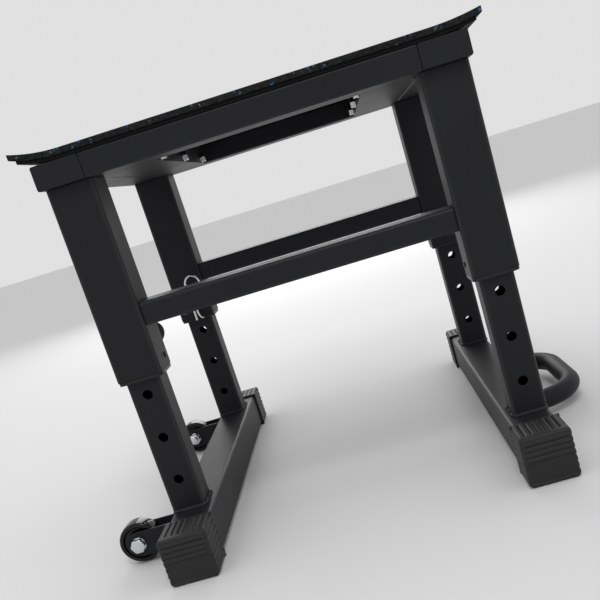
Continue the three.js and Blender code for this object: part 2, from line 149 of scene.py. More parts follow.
class Finish:
    """A material around one Principled shader."""

    def __init__(self, name, **fixed):
        self.material = bpy.data.materials.new(name)
        self.material.use_nodes = True
        self.tree = self.material.node_tree
        self.shader = self.tree.nodes["Principled BSDF"]
        for label, value in fixed.items():
            self.shader.inputs[label.replace("_", " ")].default_value = value
        self.place = self.node("ShaderNodeTexCoord", output="Object")

    def node(self, kind, settings=(), inputs=(), output=0):
        """Adds one node: its settings first, then its sockets' values or links."""
        made = self.tree.nodes.new(kind)
        for key, value in dict(settings).items():
            setattr(made, key, value)
        for key, value in dict(inputs).items():
            if isinstance(value, Socket):
                self.tree.links.new(value.socket, made.inputs[key])
            else:
                made.inputs[key].default_value = value
        return Socket(self, made.outputs[output])

    def math(self, operation, first, second):
        """One Math node on two numbers."""
        return self.node("ShaderNodeMath", {"operation": operation}, {0: first, 1: second})

    def clamp(self, value):
        """Keeps a number between 0 and 1."""
        return self.node("ShaderNodeClamp", (), {"Value": value})

    def noise(self, scale, detail, stretch=(1, 1, 1)):
        """Noise from 0 to 1 in object space, squeezed along the given axes."""
        place = self.node("ShaderNodeMapping", (), {"Vector": self.place, "Scale": stretch})
        return self.node("ShaderNodeTexNoise", (), {"Vector": place, "Scale": scale, "Detail": detail})

    def mix(self, factor, first, second):
        """A colour between two colours; they are the Mix node's inputs 6 and 7, and its output 2."""
        first, second = (value if isinstance(value, Socket) else (*value, 1.0) for value in (first, second))
        return self.node("ShaderNodeMix", {"data_type": "RGBA"}, {0: factor, 6: first, 7: second}, 2)

    def attribute(self, name):
        """A number stored on the mesh's points."""
        return self.node("ShaderNodeAttribute", {"attribute_name": name}, output="Fac")

    def bump(self, height, strength, distance):
        """A normal that follows a height."""
        sockets = {"Height": height, "Strength": strength, "Distance": distance}
        return self.node("ShaderNodeBump", (), sockets, "Normal")

    def feed(self, **sockets):
        """Links varying values to the shader's own sockets."""
        for label, value in sockets.items():
            self.tree.links.new(value.socket, self.shader.inputs[label.replace("_", " ")])
        return self.material


def scaled(colour, share):
    """A colour made darker, or lighter where the share is above 1."""
    return tuple(channel * share for channel in colour)


# How dark the under-layer is against the mat, partly its own colour and partly painted shade under the deck,
# and the wheels against the other plastic.
UNDER_LAYER_SHADE = 0.35
WHEEL_SHARE = 0.35
PALE_GRANULE = (0.10, 0.11, 0.11)


def powder_coat(colour):
    """Satin black paint: fine orange peel, cloudy sheen, and a thin lighter line on the tubes' edges as
    painted highlight.
    """
    finish = Finish("powder_coat", Specular_IOR_Level=0.13)
    cloud = finish.noise(7.0, 3.0)
    dust = finish.noise(160.0, 4.0)
    edge = finish.attribute("edge")
    tone = finish.mix(cloud, scaled(colour, 0.82), scaled(colour, 1.22))
    speck = finish.clamp((dust - 0.66) * 6.0)
    tone = finish.mix(speck * 0.25, tone, scaled(colour, 3.0))
    # Painted highlight: the tubes' rounded edges and the weld beads are lightened along the edge weight.
    tone = finish.mix(edge * 0.35, tone, scaled(colour, 3.4))
    peel = finish.noise(1500.0, 2.0)
    return finish.feed(
        Base_Color=tone,
        Roughness=0.40 + cloud * 0.12 + speck * 0.1 - edge * 0.08,
        Normal=finish.bump(peel, 0.16, 0.0004),
    )


def granulated_rubber(colour, fleck):
    """Pressed rubber granules with a few blue and grey ones."""
    finish = Finish("mat_rubber", Specular_IOR_Level=0.12)
    settings = {"voronoi_dimensions": "3D", "feature": "F1"}
    cells = {"Vector": finish.place, "Scale": 330.0, "Randomness": 1.0}
    gap = finish.node("ShaderNodeTexVoronoi", settings, cells, "Distance")
    tint = finish.node("ShaderNodeTexVoronoi", settings, cells, "Color")
    tinted = finish.node("ShaderNodeSeparateColor", (), {"Color": tint}, "Red")
    shade = finish.node("ShaderNodeSeparateColor", (), {"Color": tint}, "Green")
    tone = finish.mix(shade, scaled(colour, 0.6), scaled(colour, 1.9))
    tone = finish.mix(tinted > 0.975, tone, fleck)
    tone = finish.mix(shade > 0.99, tone, PALE_GRANULE)
    return finish.feed(
        Base_Color=tone,
        Roughness=0.72 + gap * 0.5,
        Normal=finish.bump(1.0 - gap, 0.5, 0.0008),
    )


def dense_rubber(colour):
    """Smooth dark under-layer with a fine grain."""
    finish = Finish("deck_board", Specular_IOR_Level=0.12)
    grain = finish.noise(900.0, 3.0)
    cloud = finish.noise(9.0, 2.0)
    tone = finish.mix(cloud, scaled(colour, 0.8), scaled(colour, 1.3))
    return finish.feed(
        Base_Color=tone,
        Roughness=0.62 + cloud * 0.16,
        Normal=finish.bump(grain, 0.2, 0.0004),
    )


def moulded_rubber(colour):
    """Boot rubber: a painted highlight on the ribs' crests and painted shade in the grooves, which are also
    duller.
    """
    finish = Finish("boot_rubber", Specular_IOR_Level=0.25)
    # crest carries the painted highlight on the ribs and the painted shade in the grooves.
    crest = finish.attribute("edge")
    cloud = finish.noise(30.0, 4.0)
    grain = finish.noise(1300.0, 2.0)
    tone = finish.mix(crest, scaled(colour, 0.45), scaled(colour, 1.25))
    tone = finish.mix(cloud * 0.3, tone, scaled(colour, 2.0))
    return finish.feed(
        Base_Color=tone,
        Roughness=0.62 - crest * 0.16 + cloud * 0.1,
        Normal=finish.bump(grain, 0.2, 0.0004),
    )


def moulded_plastic(name, colour, roughness, gloss):
    """Black plastic with a faint moulded grain."""
    finish = Finish(name, Specular_IOR_Level=gloss)
    grain = finish.noise(1100.0, 2.0)
    cloud = finish.noise(25.0, 3.0)
    tone = finish.mix(cloud, scaled(colour, 0.8), scaled(colour, 1.3))
    return finish.feed(
        Base_Color=tone,
        Roughness=roughness + cloud * 0.08,
        Normal=finish.bump(grain, 0.1, 0.0003),
    )


def bright_steel(colour):
    """Zinc-plated steel with fine scratches and a slightly cloudy shine."""
    finish = Finish("bright_steel", Metallic=1.0)
    cloud = finish.noise(60.0, 3.0)
    scratch = finish.noise(700.0, 3.0, (1, 1, 6))
    tone = finish.mix(cloud, scaled(colour, 0.82), colour)
    return finish.feed(
        Base_Color=tone,
        Roughness=0.16 + cloud * 0.14,
        Normal=finish.bump(scratch, 0.12, 0.0002),
    )


class MixFinishes(bpy.types.Operator):
    """Mixes one finish for each of the record's slots and gives them to the CAD nodes.

    The nodes' plain materials go first, because each finish takes its slot's name, by which the pieces that
    are built later find it.
    """

    bl_idname = "step_platform.finishes"
    bl_label = "Finishes"

    def execute(self, context):
        for plain in list(bpy.data.materials):
            bpy.data.materials.remove(plain)
        colours = context.scene.platform_colours
        # The under-layer is the mat's colour darkened, partly its own colour and partly painted shade under
        # the deck.
        under_layer = scaled(colours.mat, UNDER_LAYER_SHADE)
        wheels = scaled(colours.plastic, WHEEL_SHARE)
        finishes = {
            "powder_coat": powder_coat(colours.steel_paint),
            "mat_rubber": granulated_rubber(colours.mat, colours.fleck),
            "deck_board": dense_rubber(under_layer),
            "boot_rubber": moulded_rubber(colours.boot),
            "black_plastic": moulded_plastic("black_plastic", colours.plastic, 0.34, 0.3),
            "wheel_plastic": moulded_plastic("wheel_plastic", wheels, 0.06, 0.3),
            "bright_steel": bright_steel(colours.bright),
        }
        for entry in frame["record"]["subparts"]:
            node = frame["nodes"][entry["node"]]
            node.data.materials.clear()
            node.data.materials.append(finishes[entry["material_slot"]])
        return {"FINISHED"}


# ---- Stacks of rings ----

SHARPEST_CORNER = 0.05 * MM
ROUND_STEPS = 4
# Rings inset by less than this count as skin, whose corners get the painted edge highlight.
HIGHLIGHT_DEPTH = 1.2 * MM
# A weld bead: spacing of its rings, distance between its ripples, how far they swell, and how light its
# painted highlight is.
WELD_STEP = 1.2 * MM
WELD_WAVE = 5 * MM
WELD_SWELL = 0.12
WELD_HIGHLIGHT = 0.8


class Stack:
    """Rings of points, as rows by columns by XYZ, with an edge weight, the painted highlight, for every
    point.

    loop joins the last ring to the first, wrap joins each ring's last point to its first, and keep says
    which faces are wanted.
    """

    def __init__(self, rings, edge=None, loop=False, wrap=True, keep=None):
        self.rings = np.asarray(rings, float)
        self.edge = np.zeros(self.rings.shape[:2]) if edge is None else edge
        self.loop = loop
        self.wrap = wrap
        self.keep = keep

    def faces(self):
        """Quads between neighbouring rings."""
        rows, columns = self.rings.shape[:2]
        row = np.arange(rows if self.loop else rows - 1)[:, None]
        column = np.arange(columns if self.wrap else columns - 1)[None]
        next_row = (row + 1) % rows
        next_column = (column + 1) % columns
        corners = [row * columns + column, row * columns + next_column]
        corners += [next_row * columns + next_column, next_row * columns + column]
        quads = np.stack(np.broadcast_arrays(*corners), -1)
        return quads.reshape(-1, 4) if self.keep is None else quads[self.keep]

    def capped(self, first=True, last=True):
        """Closes the ends with rings shrunk to their centres."""
        blank = np.zeros((1, self.rings.shape[1]))
        for wanted, ring, order in ((first, self.rings[:1], 1), (last, self.rings[-1:], -1)):
            if wanted:
                centre = np.broadcast_to(ring.mean(1, keepdims=True), ring.shape)
                self.rings = np.concatenate([centre, self.rings][::order])
                self.edge = np.concatenate([blank, self.edge][::order])
        return self

    def placed(self, axes="XYZ", at=(0, 0, 0), flip=1):
        """Lays local x, y and z along the named axes, mirrors local z by flip, and moves to a point."""
        out = np.empty_like(self.rings)
        for local, letter in enumerate(axes):
            out[..., "XYZ".index(letter)] = self.rings[..., local] * (flip if local == 2 else 1)
        self.rings = out + np.asarray(at, float)
        return self


def rounded_outline(width, height, radius, arc=6, shares=(0.04, 0.96)):
    """Rectangle with quarter-round corners: each corner's centre plus its radius at evenly spaced angles.

    Further points divide every straight side at the given shares of its length. Returns the points and
    their edge weight, a sine over each arc, which sets the painted edge highlight.
    """
    radius = max(radius, SHARPEST_CORNER)
    steps = np.linspace(0, 1, arc + 1)
    angle = (np.arange(4)[:, None] + steps) * (math.pi / 2)
    flat = np.array([[1, 1], [-1, 1], [-1, -1], [1, -1]]) * [width / 2 - radius, height / 2 - radius]
    arcs = flat[:, None] + radius * np.stack([np.cos(angle), np.sin(angle)], 2)
    share = np.asarray(shares)[None, :, None]
    runs = arcs[:, -1:] * (1 - share) + np.roll(arcs, -1, 0)[:, :1] * share
    weight = np.concatenate([np.sin(math.pi * steps), np.zeros(len(shares))])
    return np.concatenate([arcs, runs], 1).reshape(-1, 2), np.tile(weight, 4)


def square_ring(half, insets, level):
    """One square ring: bottom, right, top and left side, half from the middle less their insets."""
    count = len(insets[0])
    along = np.linspace(-1, 1, count + 1)[:-1] * (half - insets[1][0])
    low, right, top, left = (half - inset for inset in insets)
    sides = ([along, -low], [right, along], [-along, top], [-left, -along])
    ring = np.concatenate([np.stack(side, 1) for side in sides])
    return np.column_stack([ring, np.full(len(ring), level)])


def end_round(inset, z, size, sign):
    """Quarter circle that leads from an upright face into a level end; sign is the way the end faces."""
    turn = np.linspace(0, math.pi / 2, ROUND_STEPS)
    across = np.concatenate([[0], size * (1 - np.cos(turn)), [2 * size]])
    down = np.concatenate([[2 * size], size * (1 - np.sin(turn)), [0]])
    return np.stack([inset + across, z - sign * down], 1)


def wall_profile(wall, low, high, edge, levels=()):
    """Loop of (inset, z) round a tube's wall: outer face, top end, inner face and bottom end."""
    levels = np.asarray(levels, float)
    inner = [end_round(0, z, edge, sign) * [-1, 1] + [wall, 0] for z, sign in ((high, 1), (low, -1))]
    outer_face = np.stack([0 * levels, levels], 1)
    inner_face = np.stack([0 * levels + wall, levels], 1)[::-1]
    top = [end_round(0, high, edge, 1), inner[0][::-1]]
    bottom = [inner[1], end_round(0, low, edge, -1)[::-1]]
    return np.concatenate([outer_face, *top, inner_face, *bottom])


def outline_rings(width, height, radius, profile, arc=6, shares=(0.04, 0.96)):
    """Stack of rounded rectangles, each inset and raised as the profile's (inset, z) pairs say.

    Only rings near the skin have lighter corners, a painted highlight.
    """
    rings, weights = [], []
    for inset, z in profile:
        across, up = width - 2 * inset, height - 2 * inset
        outline, weight = rounded_outline(across, up, radius - inset, arc, shares)
        rings.append(np.column_stack([outline, np.full(len(outline), z)]))
        weights.append(weight * (inset < HIGHLIGHT_DEPTH))
    return Stack(rings, np.array(weights))


def turned(profile, sides=48, loop=False):
    """Surface of revolution about local z: each (radius, z) of the profile goes once round."""
    profile = np.asarray(profile, float)
    angle = np.arange(sides) * (2 * math.pi / sides)
    radius = profile[:, :1]
    rings = np.stack([radius * np.cos(angle), radius * np.sin(angle), 0 * angle + profile[:, 1:]], 2)
    stack = Stack(rings, loop=loop)
    return stack if loop else stack.capped()


def swept(path, radius, normal, sides=16, loop=False):
    """Round bar along a flat path: at each point, a circle square to the way the path runs."""
    path = np.asarray(path, float)
    normal = np.asarray(normal, float)
    along = np.roll(path, -1, 0) - np.roll(path, 1, 0) if loop else np.gradient(path, axis=0)
    along /= np.linalg.norm(along, axis=1, keepdims=True)
    side = np.cross(along, normal)
    angle = np.arange(sides)[:, None] * (2 * math.pi / sides)
    radius = np.broadcast_to(np.asarray(radius, float), (len(path),))[:, None, None]
    rings = path[:, None] + radius * (side[:, None] * np.cos(angle) + normal * np.sin(angle))
    return Stack(rings, loop=loop)


def hexagon_head(across_flats, height, sides=72):
    """Hexagon head along local z: each ring is the smaller of a hexagon and a circle."""
    angle = np.arange(sides) * (2 * math.pi / sides)
    sector = math.pi / 3
    flat = across_flats / 2 / np.cos((angle % sector) - sector / 2)
    corner = across_flats / math.sqrt(3)
    shape = [(0.96, 0.0), (1.0, 0.05), (1.0, 0.12), (1.0, 0.80), (0.975, 0.88), (0.925, 0.95), (0.84, 1.0)]
    rings = []
    for share, level in shape:
        x, y = np.minimum(flat, corner * share) * [np.cos(angle), np.sin(angle)]
        rings.append(np.stack([x, y, 0 * angle + level * height], 1))
    return Stack(rings).capped()


def resampled(path, step):
    """Points at even distances along a closed path."""
    closed = np.concatenate([path, path[:1]])
    travel = np.concatenate([[0], np.cumsum(np.linalg.norm(np.diff(closed, axis=0), axis=1))])
    places = np.linspace(0, travel[-1], max(int(travel[-1] / step), 12), endpoint=False)
    return np.stack([np.interp(places, travel, closed[:, i]) for i in range(3)], 1)


def weld_bead(path, radius, normal):
    """Bead along a closed path whose radius swells by a sine every five millimetres of travel."""
    path = resampled(path, WELD_STEP)
    waves = max(round(len(path) * WELD_STEP / WELD_WAVE), 6)
    swell = 1 + WELD_SWELL * np.sin(2 * math.pi * waves * np.arange(len(path)) / len(path))
    bead = swept(path, radius * swell, normal, 10, True)
    # The whole bead gets the painted highlight.
    bead.edge += WELD_HIGHLIGHT
    return bead


# ---- Mesh making ----

# Points closer than the first are one point, and edges shorter than the second have no length.
SAME_POINT = 2e-6
NO_LENGTH = 1e-7


def make_piece(name, stacks, body, slot, replaced=(), sharp=35.0):
    """Joins closed stacks of rings into one piece that rides on a body and stands for CAD nodes."""
    starts = np.cumsum([0] + [stack.edge.size for stack in stacks])
    points = np.concatenate([stack.rings.reshape(-1, 3) for stack in stacks])
    faces = np.concatenate([stack.faces() + start for stack, start in zip(stacks, starts)])
    weights = np.concatenate([stack.edge.ravel() for stack in stacks]).astype(np.float32)
    mesh = bpy.data.meshes.new(name)
    mesh.from_pydata(points.tolist(), [], faces.tolist())
    mesh.attributes.new("edge", "FLOAT", "POINT").data.foreach_set("value", weights)
    work = bmesh.new()
    work.from_mesh(mesh)
    bmesh.ops.remove_doubles(work, verts=work.verts, dist=SAME_POINT)
    bmesh.ops.dissolve_degenerate(work, edges=work.edges, dist=NO_LENGTH)
    bmesh.ops.delete(work, geom=[vertex for vertex in work.verts if not vertex.link_faces], context="VERTS")
    bmesh.ops.recalc_face_normals(work, faces=work.faces)
    loose = sum(not edge.is_manifold for edge in work.edges)
    work.to_mesh(mesh)
    work.free()
    if loose:
        raise ValueError(f"{name} has {loose} open edges")
    mesh.shade_smooth()
    mesh.set_sharp_from_angle(angle=math.radians(sharp))
    mesh.materials.append(bpy.data.materials[slot])
    piece = bpy.data.objects.new(name, mesh)
    bpy.context.scene.collection.objects.link(piece)
    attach(piece, body)
    if replaced:
        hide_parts(*replaced)
    return piece


def node_box(node):
    """Centre and size of a CAD node at rest."""
    low, high = (np.array(corner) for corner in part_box(node))
    return (low + high) / 2, high - low


def node_sizes(node, axes):
    """A node's centre, and its size along each of the named axes."""
    centre, extent = node_box(node)
    return centre, [extent["XYZ".index(letter)] for letter in axes]


def hollow_tube(node, axes, corner, wall, edge):
    """Open tube in a node's box; axes names where its width, height and length run."""
    centre, (width, height, length) = node_sizes(node, axes)
    profile = wall_profile(wall, -length / 2, length / 2, edge)
    stack = outline_rings(width, height, corner, profile)
    stack.loop = True
    return stack.placed(axes, centre)


def closed_tube(node, axes, corner, edge):
    """Tube in a node's box with plates welded into its ends."""
    centre, (width, height, length) = node_sizes(node, axes)
    end = end_round(0, length / 2, edge, 1)
    profile = np.concatenate([end[::-1] * [1, -1], end])
    return outline_rings(width, height, corner, profile).capped().placed(axes, centre)


# ---- Deck ----

LIP_START = 300 * MM
LIP_RISE = {-1: 12 * MM, 1: 8 * MM}
DECK_ROWS = 61
MAT_EDGE = 1.2 * MM
UNDER_LAYER_EDGE = 0.8 * MM


def deck_layer(node, edge, mat_half):
    """Sheet with a rounded upright section carried along X.

    Past the lip's start its height grows with the square of the distance, so that both ends curl up.
    """
    centre, (depth, height, length) = node_sizes(node, "YZX")
    reach = mat_half - LIP_START
    thickness = height - max(LIP_RISE.values()) * ((length / 2 - LIP_START) / reach) ** 2
    end = end_round(0, length / 2, edge, 1)
    inner = np.linspace(-1, 1, DECK_ROWS) * (length / 2 - 3 * edge)
    profile = np.concatenate([end[::-1] * [1, -1], np.stack([0 * inner, inner], 1), end])
    stack = outline_rings(depth, thickness, edge, profile, 4).capped()
    base = centre[2] - height / 2 + thickness / 2
    x = stack.placed("YZX", (centre[0], centre[1], base)).rings[..., 0]
    curl = np.clip(np.abs(x) - LIP_START, 0, None) / reach
    stack.rings[..., 2] += np.where(x < 0, LIP_RISE[-1], LIP_RISE[1]) * curl**2
    stack.edge *= 0
    return stack


class BuildDeck(bpy.types.Operator):
    """Builds the deck's rubber mat and the thinner layer below it."""

    bl_idname = "step_platform.deck"
    bl_label = "Deck"

    def execute(self, context):
        mat_half = node_box("deck_mat")[1][0] / 2
        mat = deck_layer("deck_mat", MAT_EDGE, mat_half)
        under = deck_layer("deck_board", UNDER_LAYER_EDGE, mat_half)
        make_piece("rubber_mat", [mat], "platform", "mat_rubber", ["deck_mat"])
        make_piece("under_layer", [under], "platform", "deck_board", ["deck_board"])
        return {"FINISHED"}


# ---- Upper frame ----


class BuildFrame(bpy.types.Operator):
    """Builds the square frame's tubes and the lower crossbars."""

    bl_idname = "step_platform.frame"
    bl_label = "Upper Frame"

    def execute(self, context):
        sizes = context.scene.platform_sizes
        for side, _ in SIDES:
            node = f"end_tube_{side}"
            shape = closed_tube(node, "XZY", sizes.frame_corner, sizes.joint_edge)
            make_piece(f"{node}_steel", [shape], "platform", "powder_coat", [node])
        for end, _ in ENDS:
            corners = {f"{end}_rail": sizes.frame_corner, f"{end}_crossbar": sizes.tube_corner}
            for node, corner in corners.items():
                shape = hollow_tube(node, "YZX", corner, sizes.tube_wall, sizes.joint_edge)
                make_piece(f"{node}_steel", [shape], "platform", "powder_coat", [node])
        return {"FINISHED"}


# ---- Legs ----

HOLE_COUNT = 4
HOLE_RIM = 0.8 * MM
CORNER_STEPS = 6
FACE_STEPS = 12
# The collar's flange under the sleeve, how far its liner and its open middle lie inside the flange's edge.
FLANGE_CORNER = 12 * MM
FLANGE_HEIGHT = 5.7 * MM
FLANGE_STEP = 3.6 * MM
COLLAR_DEPTH = 9.7 * MM
# Width of the groove between a leg's foot and the beam's rounded corner.
WELD_GROOVE = 8 * MM
# The collar's screw: its size, its place behind the sleeve's middle and above the sleeve's mouth.
SCREW_RADIUS = 5 * MM
SCREW_HEIGHT = 2.6 * MM
SCREW_OFFSET = 15 * MM
SCREW_RISE = 19 * MM


def pin_height(corner):
    """Height of a corner's lock pin; its tip stops just short of the leg's top hole."""
    return node_box(f"lock_pin_{corner}")[0][2]


def drilled_leg(node, top_hole, sizes):
    """Square tube with setting holes front to back, spaced evenly down from the top one.

    The faces inside a square cell round each hole are left out of the tube. A stack of rings replaces
    them: it runs from the cell's border on the outer skin to the hole's rounded rim, through the wall and
    out to the cell's border on the inner skin.
    """
    centre, (width, _, length) = node_sizes(node, "XYZ")
    low, high = -length / 2, length / 2
    wall, corner = sizes.tube_wall, sizes.tube_corner
    flat = width / 2 - corner
    holes = top_hole - centre[2] - sizes.hole_pitch * np.arange(HOLE_COUNT)[::-1]
    cell = np.linspace(-1, 1, FACE_STEPS + 1) * flat
    shares = np.linspace(0, 1, FACE_STEPS + 1)[1:-1]
    profile = wall_profile(wall, low, high, sizes.cut_edge, (holes[:, None] + cell).ravel())
    tube = outline_rings(width, width, corner, profile, CORNER_STEPS, shares)
    tube.loop = True
    middle = (profile + np.roll(profile, -1, 0)) / 2
    upright = np.abs(profile - np.roll(profile, -1, 0))[:, 0] < 1e-9
    in_cell = upright & (np.abs(middle[:, 1:] - holes) < flat).any(1)
    column = np.arange(tube.rings.shape[1])
    block = CORNER_STEPS + FACE_STEPS
    on_face = ((column // block) % 2 == 0) & (column % block >= CORNER_STEPS)
    tube.keep = ~(in_cell[:, None] & on_face[None])
    border = square_ring(flat, [np.zeros(FACE_STEPS)] * 4, 0)[:, :2]
    circle = border / np.linalg.norm(border, axis=1, keepdims=True)
    radius = sizes.hole_radius
    outer = circle * (radius + HOLE_RIM)
    path = [(border * (1 - share) + outer * share, width / 2) for share in (0, 0.4, 0.75, 0.93)]
    for turn in np.linspace(0, math.pi / 2, ROUND_STEPS):
        rim = radius + HOLE_RIM * (1 - math.sin(turn))
        path.append((circle * rim, width / 2 - HOLE_RIM * (1 - math.cos(turn))))
    inside = width / 2 - wall
    path += [(circle * radius, inside), (border * 0.5 + circle * radius * 0.5, inside), (border, inside)]
    stacks = [tube]
    for hole in holes:
        for sign in (-1, 1):
            rings = [np.stack([p[:, 0], np.full(len(p), sign * y), p[:, 1] + hole], 1) for p, y in path]
            stacks.append(Stack(rings))
    return [stack.placed("XYZ", centre) for stack in stacks]


def collar(node):
    """Plastic collar: a flange that shows under the sleeve and a liner inside it, round an open middle."""
    centre, (width, _, height) = node_sizes(node, "XYZ")
    low, high = -height / 2, height / 2
    flange = low + FLANGE_HEIGHT
    outer = np.concatenate([end_round(0, low, 0.8 * MM, -1)[::-1], end_round(0, flange, 0.6 * MM, 1)])
    inner = [(FLANGE_STEP, flange), (FLANGE_STEP, high), (COLLAR_DEPTH, high), (COLLAR_DEPTH, low)]
    stack = outline_rings(width, width, FLANGE_CORNER, np.concatenate([outer, inner]))
    stack.loop = True
    return stack.placed("XYZ", centre)


def leg_weld(corner, side, sizes):
    """Weld round a leg's foot: the leg's own outline, grown by the bead's stand-off.

    On the beam's flush side it sinks into the groove of the rounded corner, by a share that grows evenly
    over the groove's width.
    """
    centre, extent = node_box(f"inner_leg_{corner}")
    outline, _ = rounded_outline(extent[0], extent[1], sizes.tube_corner)
    foot = centre[2] - extent[2] / 2
    stand_off, sink_in = 0.6 * MM, 3.0 * MM
    lift, sink_down = 0.3 * MM, 2.2 * MM
    flush = np.clip((side * outline[:, 0] - extent[0] / 2 + WELD_GROOVE) / WELD_GROOVE, 0, 1)
    grow = 1 + (stand_off - sink_in * flush)[:, None] / (extent[0] / 2)
    path = np.column_stack([outline * grow + centre[:2], foot + lift - sink_down * flush])
    return weld_bead(path, sizes.weld_radius, (0, 0, 1))


def dome(radius, height):
    """Low screw head along local z: an upright edge, then a flattened quarter circle up to the axis."""
    turn = np.linspace(0, math.pi / 2, 8)
    profile = np.stack([radius * np.cos(turn), height * 0.4 + 0.6 * height * np.sin(turn)], 1)
    return turned(np.concatenate([[[radius, 0]], profile[:-1]]), 32)


class BuildLegs(bpy.types.Operator):
    """Builds the outer sleeves, collars and their screws, the drilled inner legs and their welds."""

    bl_idname = "step_platform.legs"
    bl_label = "Legs"

    def execute(self, context):
        sizes = context.scene.platform_sizes
        for end, side in CORNERS:
            corner = f"{end}_{side}"
            body = f"base_{side}"
            sign = dict(SIDES)[side]
            sleeve = f"sleeve_{corner}"
            tube = hollow_tube(sleeve, "XYZ", sizes.tube_corner, sizes.tube_wall, sizes.cut_edge)
            make_piece(f"{sleeve}_steel", [tube], "platform", "powder_coat", [sleeve])
            bushing = f"bushing_{corner}"
            make_piece(f"{bushing}_collar", [collar(bushing)], "platform", "black_plastic", [bushing])
            leg = f"inner_leg_{corner}"
            tubes = drilled_leg(leg, pin_height(corner), sizes)
            make_piece(f"{leg}_steel", tubes, body, "powder_coat", [leg])
            make_piece(f"leg_weld_{corner}", [leg_weld(corner, sign, sizes)], body, "powder_coat")
            centre, extent = node_box(sleeve)
            face = centre[0] - sign * extent[0] / 2
            spot = (face, centre[1] + SCREW_OFFSET, centre[2] - extent[2] / 2 + SCREW_RISE)
            screw = dome(SCREW_RADIUS, SCREW_HEIGHT).placed("YZX", spot, -sign)
            make_piece(f"collar_screw_{corner}", [screw], "platform", "black_plastic")
        return {"FINISHED"}


# ---- Lock pins ----

PIN_TIP = 0.9 * MM
KNOB_ROUND = 9 * MM
CLIP_WIRE = 2.5 * MM
# Across and up from the pin, in millimetres: the straight leg, the loop at the top, and the wavy leg.
CLIP_POINTS = (
    (0, -52), (0, -36), (0, -20), (0, -5), (0, 10), (0, 24), (0, 36), (5, 48), (17, 53.5), (29, 48),
    (34, 36), (30, 20), (18, 8), (14, -2), (13, -14), (7.5, -30), (10, -42), (17, -50),
)


def smooth_path(points, steps=8):
    """Curve through the points: between two points, a cubic that takes their neighbours' directions."""
    p = np.asarray(points, float)
    p = np.concatenate([2 * p[:1] - p[1:2], p, 2 * p[-1:] - p[-2:-1]])
    t = np.linspace(0, 1, steps, endpoint=False)[None, :, None]
    a, b, c, d = (p[i : len(p) - 3 + i, None] for i in range(4))
    curve = 2 * b + (c - a) * t + (2 * a - 5 * b + 4 * c - d) * t**2 + (3 * b - a - 3 * c + d) * t**3
    return np.concatenate([curve.reshape(-1, p.shape[1]) / 2, p[-2:-1]])


def hairpin_clip(corner):
    """Spring clip of round wire, swept along its curve; the wire's radius rounds off at both ends."""
    centre, extent = node_box(f"pin_clip_{corner}")
    path = smooth_path(np.array(CLIP_POINTS) * MM)
    leg_x = node_box(f"inner_leg_{corner}")[0][0]
    if extent[0] > extent[2]:  # this clip lies on its side
        path = path[:, ::-1] * [-1, 1]
    lengths = np.concatenate([[0], np.cumsum(np.linalg.norm(np.diff(path, axis=0), axis=1))])
    from_end = np.minimum(lengths, lengths[-1] - lengths)
    tip = np.sqrt(np.clip(1 - (1 - np.clip(from_end / CLIP_WIRE, 0, 1)) ** 2, 0.05, 1))
    x, z = path[:, 0] + leg_x, path[:, 1] + pin_height(corner)
    places = np.column_stack([x, np.full(len(path), centre[1]), z])
    return swept(places, CLIP_WIRE * tip, (0, 1, 0), 14).capped()


def knob_profile(radius, length):
    """Knob along local z: a neck that widens to a round rim, and a flat outer face."""
    turn = np.linspace(-math.pi / 2, math.pi / 2, 13)
    across = radius - KNOB_ROUND + KNOB_ROUND * np.cos(turn)
    rim = np.stack([across, length - 10 * MM + KNOB_ROUND * np.sin(turn)], 1)
    neck = [(12 * MM, 0), (12.4 * MM, 1 * MM), (13 * MM, 6 * MM)]
    face = [(radius - 12 * MM, length - 1 * MM), (8 * MM, length - 0.6 * MM), (7 * MM, length)]
    return np.concatenate([neck, rim, face])


class BuildPins(bpy.types.Operator):
    """Builds the lock pins with their knobs and spring clips."""

    bl_idname = "step_platform.pins"
    bl_label = "Lock Pins"

    def execute(self, context):
        for end, side in CORNERS:
            corner = f"{end}_{side}"
            body = f"pin_{corner}"
            inward = -dict(ENDS)[end]
            pin = f"lock_pin_{corner}"
            centre, (width, _, length) = node_sizes(pin, "XZY")
            tip = end_round(0, length / 2, PIN_TIP, 1)
            shaft = np.concatenate([tip[::-1] * [1, -1], tip])
            rod = turned(np.stack([width / 2 - shaft[:, 0], shaft[:, 1]], 1)).placed("XZY", centre)
            make_piece(f"{pin}_rod", [rod], body, "bright_steel", [pin])
            knob = f"pin_knob_{corner}"
            centre, (width, _, length) = node_sizes(knob, "XZY")
            start = centre - [0, inward * length / 2, 0]
            grip = turned(knob_profile(width / 2, length), 64).placed("XZY", start, inward)
            make_piece(f"{knob}_grip", [grip], body, "black_plastic", [knob])
            clip = f"pin_clip_{corner}"
            make_piece(f"{clip}_wire", [hairpin_clip(corner)], body, "bright_steel", [clip])
        return {"FINISHED"}


# ---- Base ----

# A boot's side ribs: points across each, and the powers that shape its flat and its round sides.
RIB_POINTS = 10
LOBE_WIDTH = 2.6
LOBE_ROUND = 2.2
BOOT_SOCKET = 37.8 * MM
# A boot's end face: its level ribs, the groove and the panel sunk below it, and the border they fade into.
FACE_RIBS = 4
FACE_RIB_PITCH = 9.4 * MM
FACE_RIB_HEIGHT = 2.4 * MM
FACE_GROOVE = 1.0 * MM
FACE_PANEL = 1.2 * MM
FACE_BORDER = 2.5 * MM
HANDLE_BEND = 90 * MM
